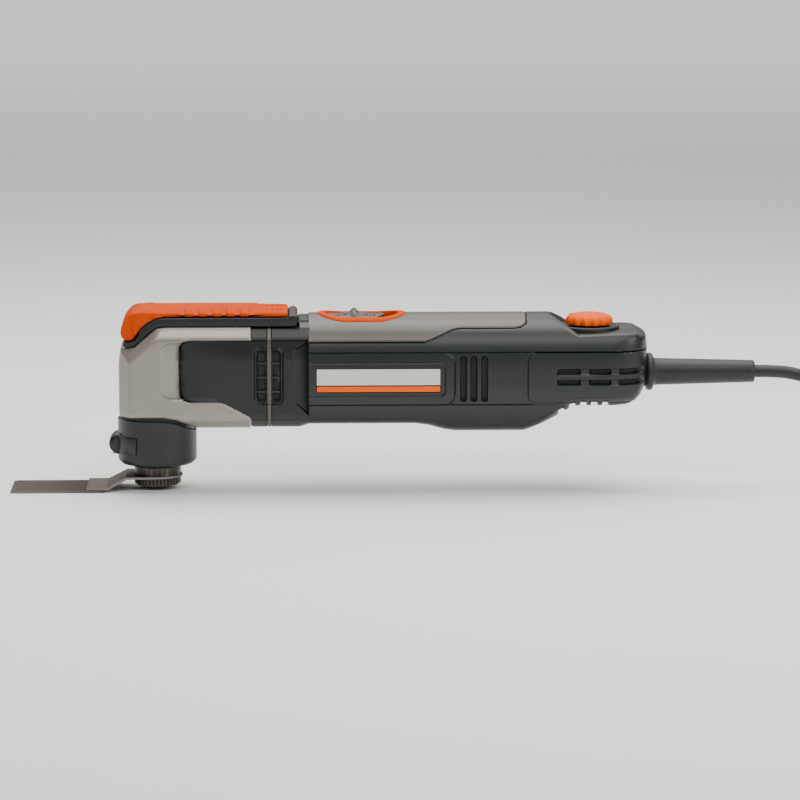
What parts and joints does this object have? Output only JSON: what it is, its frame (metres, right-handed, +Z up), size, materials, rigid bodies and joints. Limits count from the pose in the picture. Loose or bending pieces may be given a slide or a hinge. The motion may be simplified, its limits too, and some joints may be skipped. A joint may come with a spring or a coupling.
{
  "type": "oscillating multi tool",
  "caption": "Corded oscillating multi tool with an offset plunge blade, lever quick clamp, slide switch and speed dial.",
  "frame": {"origin": "middle of the tool's footprint, on the table plane under the blade", "axes": "+X from the blade towards the lead, +Z up from the table, the blade's underside lies in z = 0"},
  "size_m": [0.7395, 0.066, 0.1015],
  "materials": {
    "charcoal_plastic": "fine grained moulded nylon housing",
    "dark_plastic": "fine grained moulded nylon, darker",
    "grey_trim": "satin moulded trim",
    "black_plastic": "matte moulded plastic",
    "orange_plastic": "satin coloured plastic",
    "badge_print": "printed name plate without words",
    "silver_paint": "satin metallic paint on the gear head",
    "slider_grey": "satin grey plastic",
    "blade_steel": "ground tool steel",
    "steel": "turned and ground steel",
    "clamp_steel": "blackened knurled steel",
    "cast_metal": "die cast gear case",
    "laminated_iron": "stacked electrical sheet",
    "copper": "enamelled copper wire and copper bars",
    "brass_parts": "brass brush holders",
    "carbon": "pressed carbon",
    "board": "circuit board",
    "lens": "clear light lens",
    "seal_rubber": "matte rubber",
    "cord_rubber": "smooth rubber sheathed mains lead",
    "pin_metal": "nickel plated plug pins"
  },
  "bodies": {
    "root": {"spindle_upper_bearing": "steel", "spindle_lower_bearing": "steel", "spindle_seal": "seal_rubber", "gear_case": "cast_metal", "nose_collar": "charcoal_plastic", "light_hood": "charcoal_plastic", "light_lens": "lens", "head_cover_left": "silver_paint", "head_cover_right": "silver_paint", "neck_housing_left": "dark_plastic", "neck_housing_right": "dark_plastic", "seam_ring": "grey_trim", "lever_tray": "black_plastic", "lever_pin": "steel", "housing_left": "charcoal_plastic", "housing_right": "charcoal_plastic", "top_cover": "grey_trim", "badges": "badge_print", "switch_bezel": "orange_plastic", "switch_body": "black_plastic", "dial_seat": "black_plastic", "dial_control": "board", "circuit_board": "board", "field_core": "laminated_iron", "field_windings": "copper", "rotor_front_bearing": "steel", "rotor_rear_bearing": "steel", "bearing_plate": "steel", "bearing_plate_screws": "steel", "brush_holders": "brass_parts", "carbon_brushes": "carbon", "housing_screws": "steel", "head_screws": "steel", "cord_boot": "cord_rubber", "cord_clamp": "black_plastic", "cord_lead": "cord_rubber", "cord_hank": "cord_rubber", "cord_tail": "cord_rubber", "hank_tie": "black_plastic", "plug_body": "cord_rubber", "plug_pins": "pin_metal"},
    "spindle_group": {"blade_plate": "blade_steel", "blade_arm": "blade_steel", "spindle": "clamp_steel", "drive_fork": "steel"},
    "clamp_group": {"clamp_bolt": "clamp_steel", "disc_springs": "steel"},
    "lever": {"clamp_lever": "orange_plastic"},
    "slider": {"switch_slider": "slider_grey", "switch_link": "black_plastic"},
    "dial": {"speed_dial": "orange_plastic"},
    "rotor": {"rotor_shaft": "steel", "armature_core": "laminated_iron", "armature_windings": "copper", "commutator": "copper", "cooling_fan": "black_plastic", "counterweight": "steel", "eccentric_bearing": "steel"}
  },
  "joints": [
    {"name": "spindle_oscillation", "type": "hinge", "parent": "root", "child": "spindle_group", "pos_m": [-0.12425, 0, 0.04], "axis": [0, 0, 1], "range_deg": [-1.6, 1.6]},
    {"name": "clamp_release", "type": "slide", "parent": "spindle_group", "child": "clamp_group", "axis": [0, 0, -1], "range_m": [0, 0.0024], "deforming": ["disc_springs"]},
    {"name": "lever_hinge", "type": "hinge", "parent": "root", "child": "lever", "pos_m": [-0.13875, 0, 0.0885], "axis": [0, -1, 0], "range_deg": [0, 100]},
    {"name": "switch_slide", "type": "slide", "parent": "root", "child": "slider", "axis": [1, 0, 0], "range_m": [0, 0.0066]},
    {"name": "speed_dial_turn", "type": "hinge", "parent": "root", "child": "dial", "pos_m": [0.11295, 0, 0.092], "axis": [0, 0, 1], "range_deg": [0, 270]},
    {"name": "rotor_spin", "type": "hinge", "parent": "root", "child": "rotor", "pos_m": [-0.02425, 0, 0.066], "axis": [1, 0, 0], "continuous": true}
  ],
  "couplings": [
    {"joint": "clamp_release", "follows": "lever_hinge", "m_per_rad": 0.001375}
  ]
}
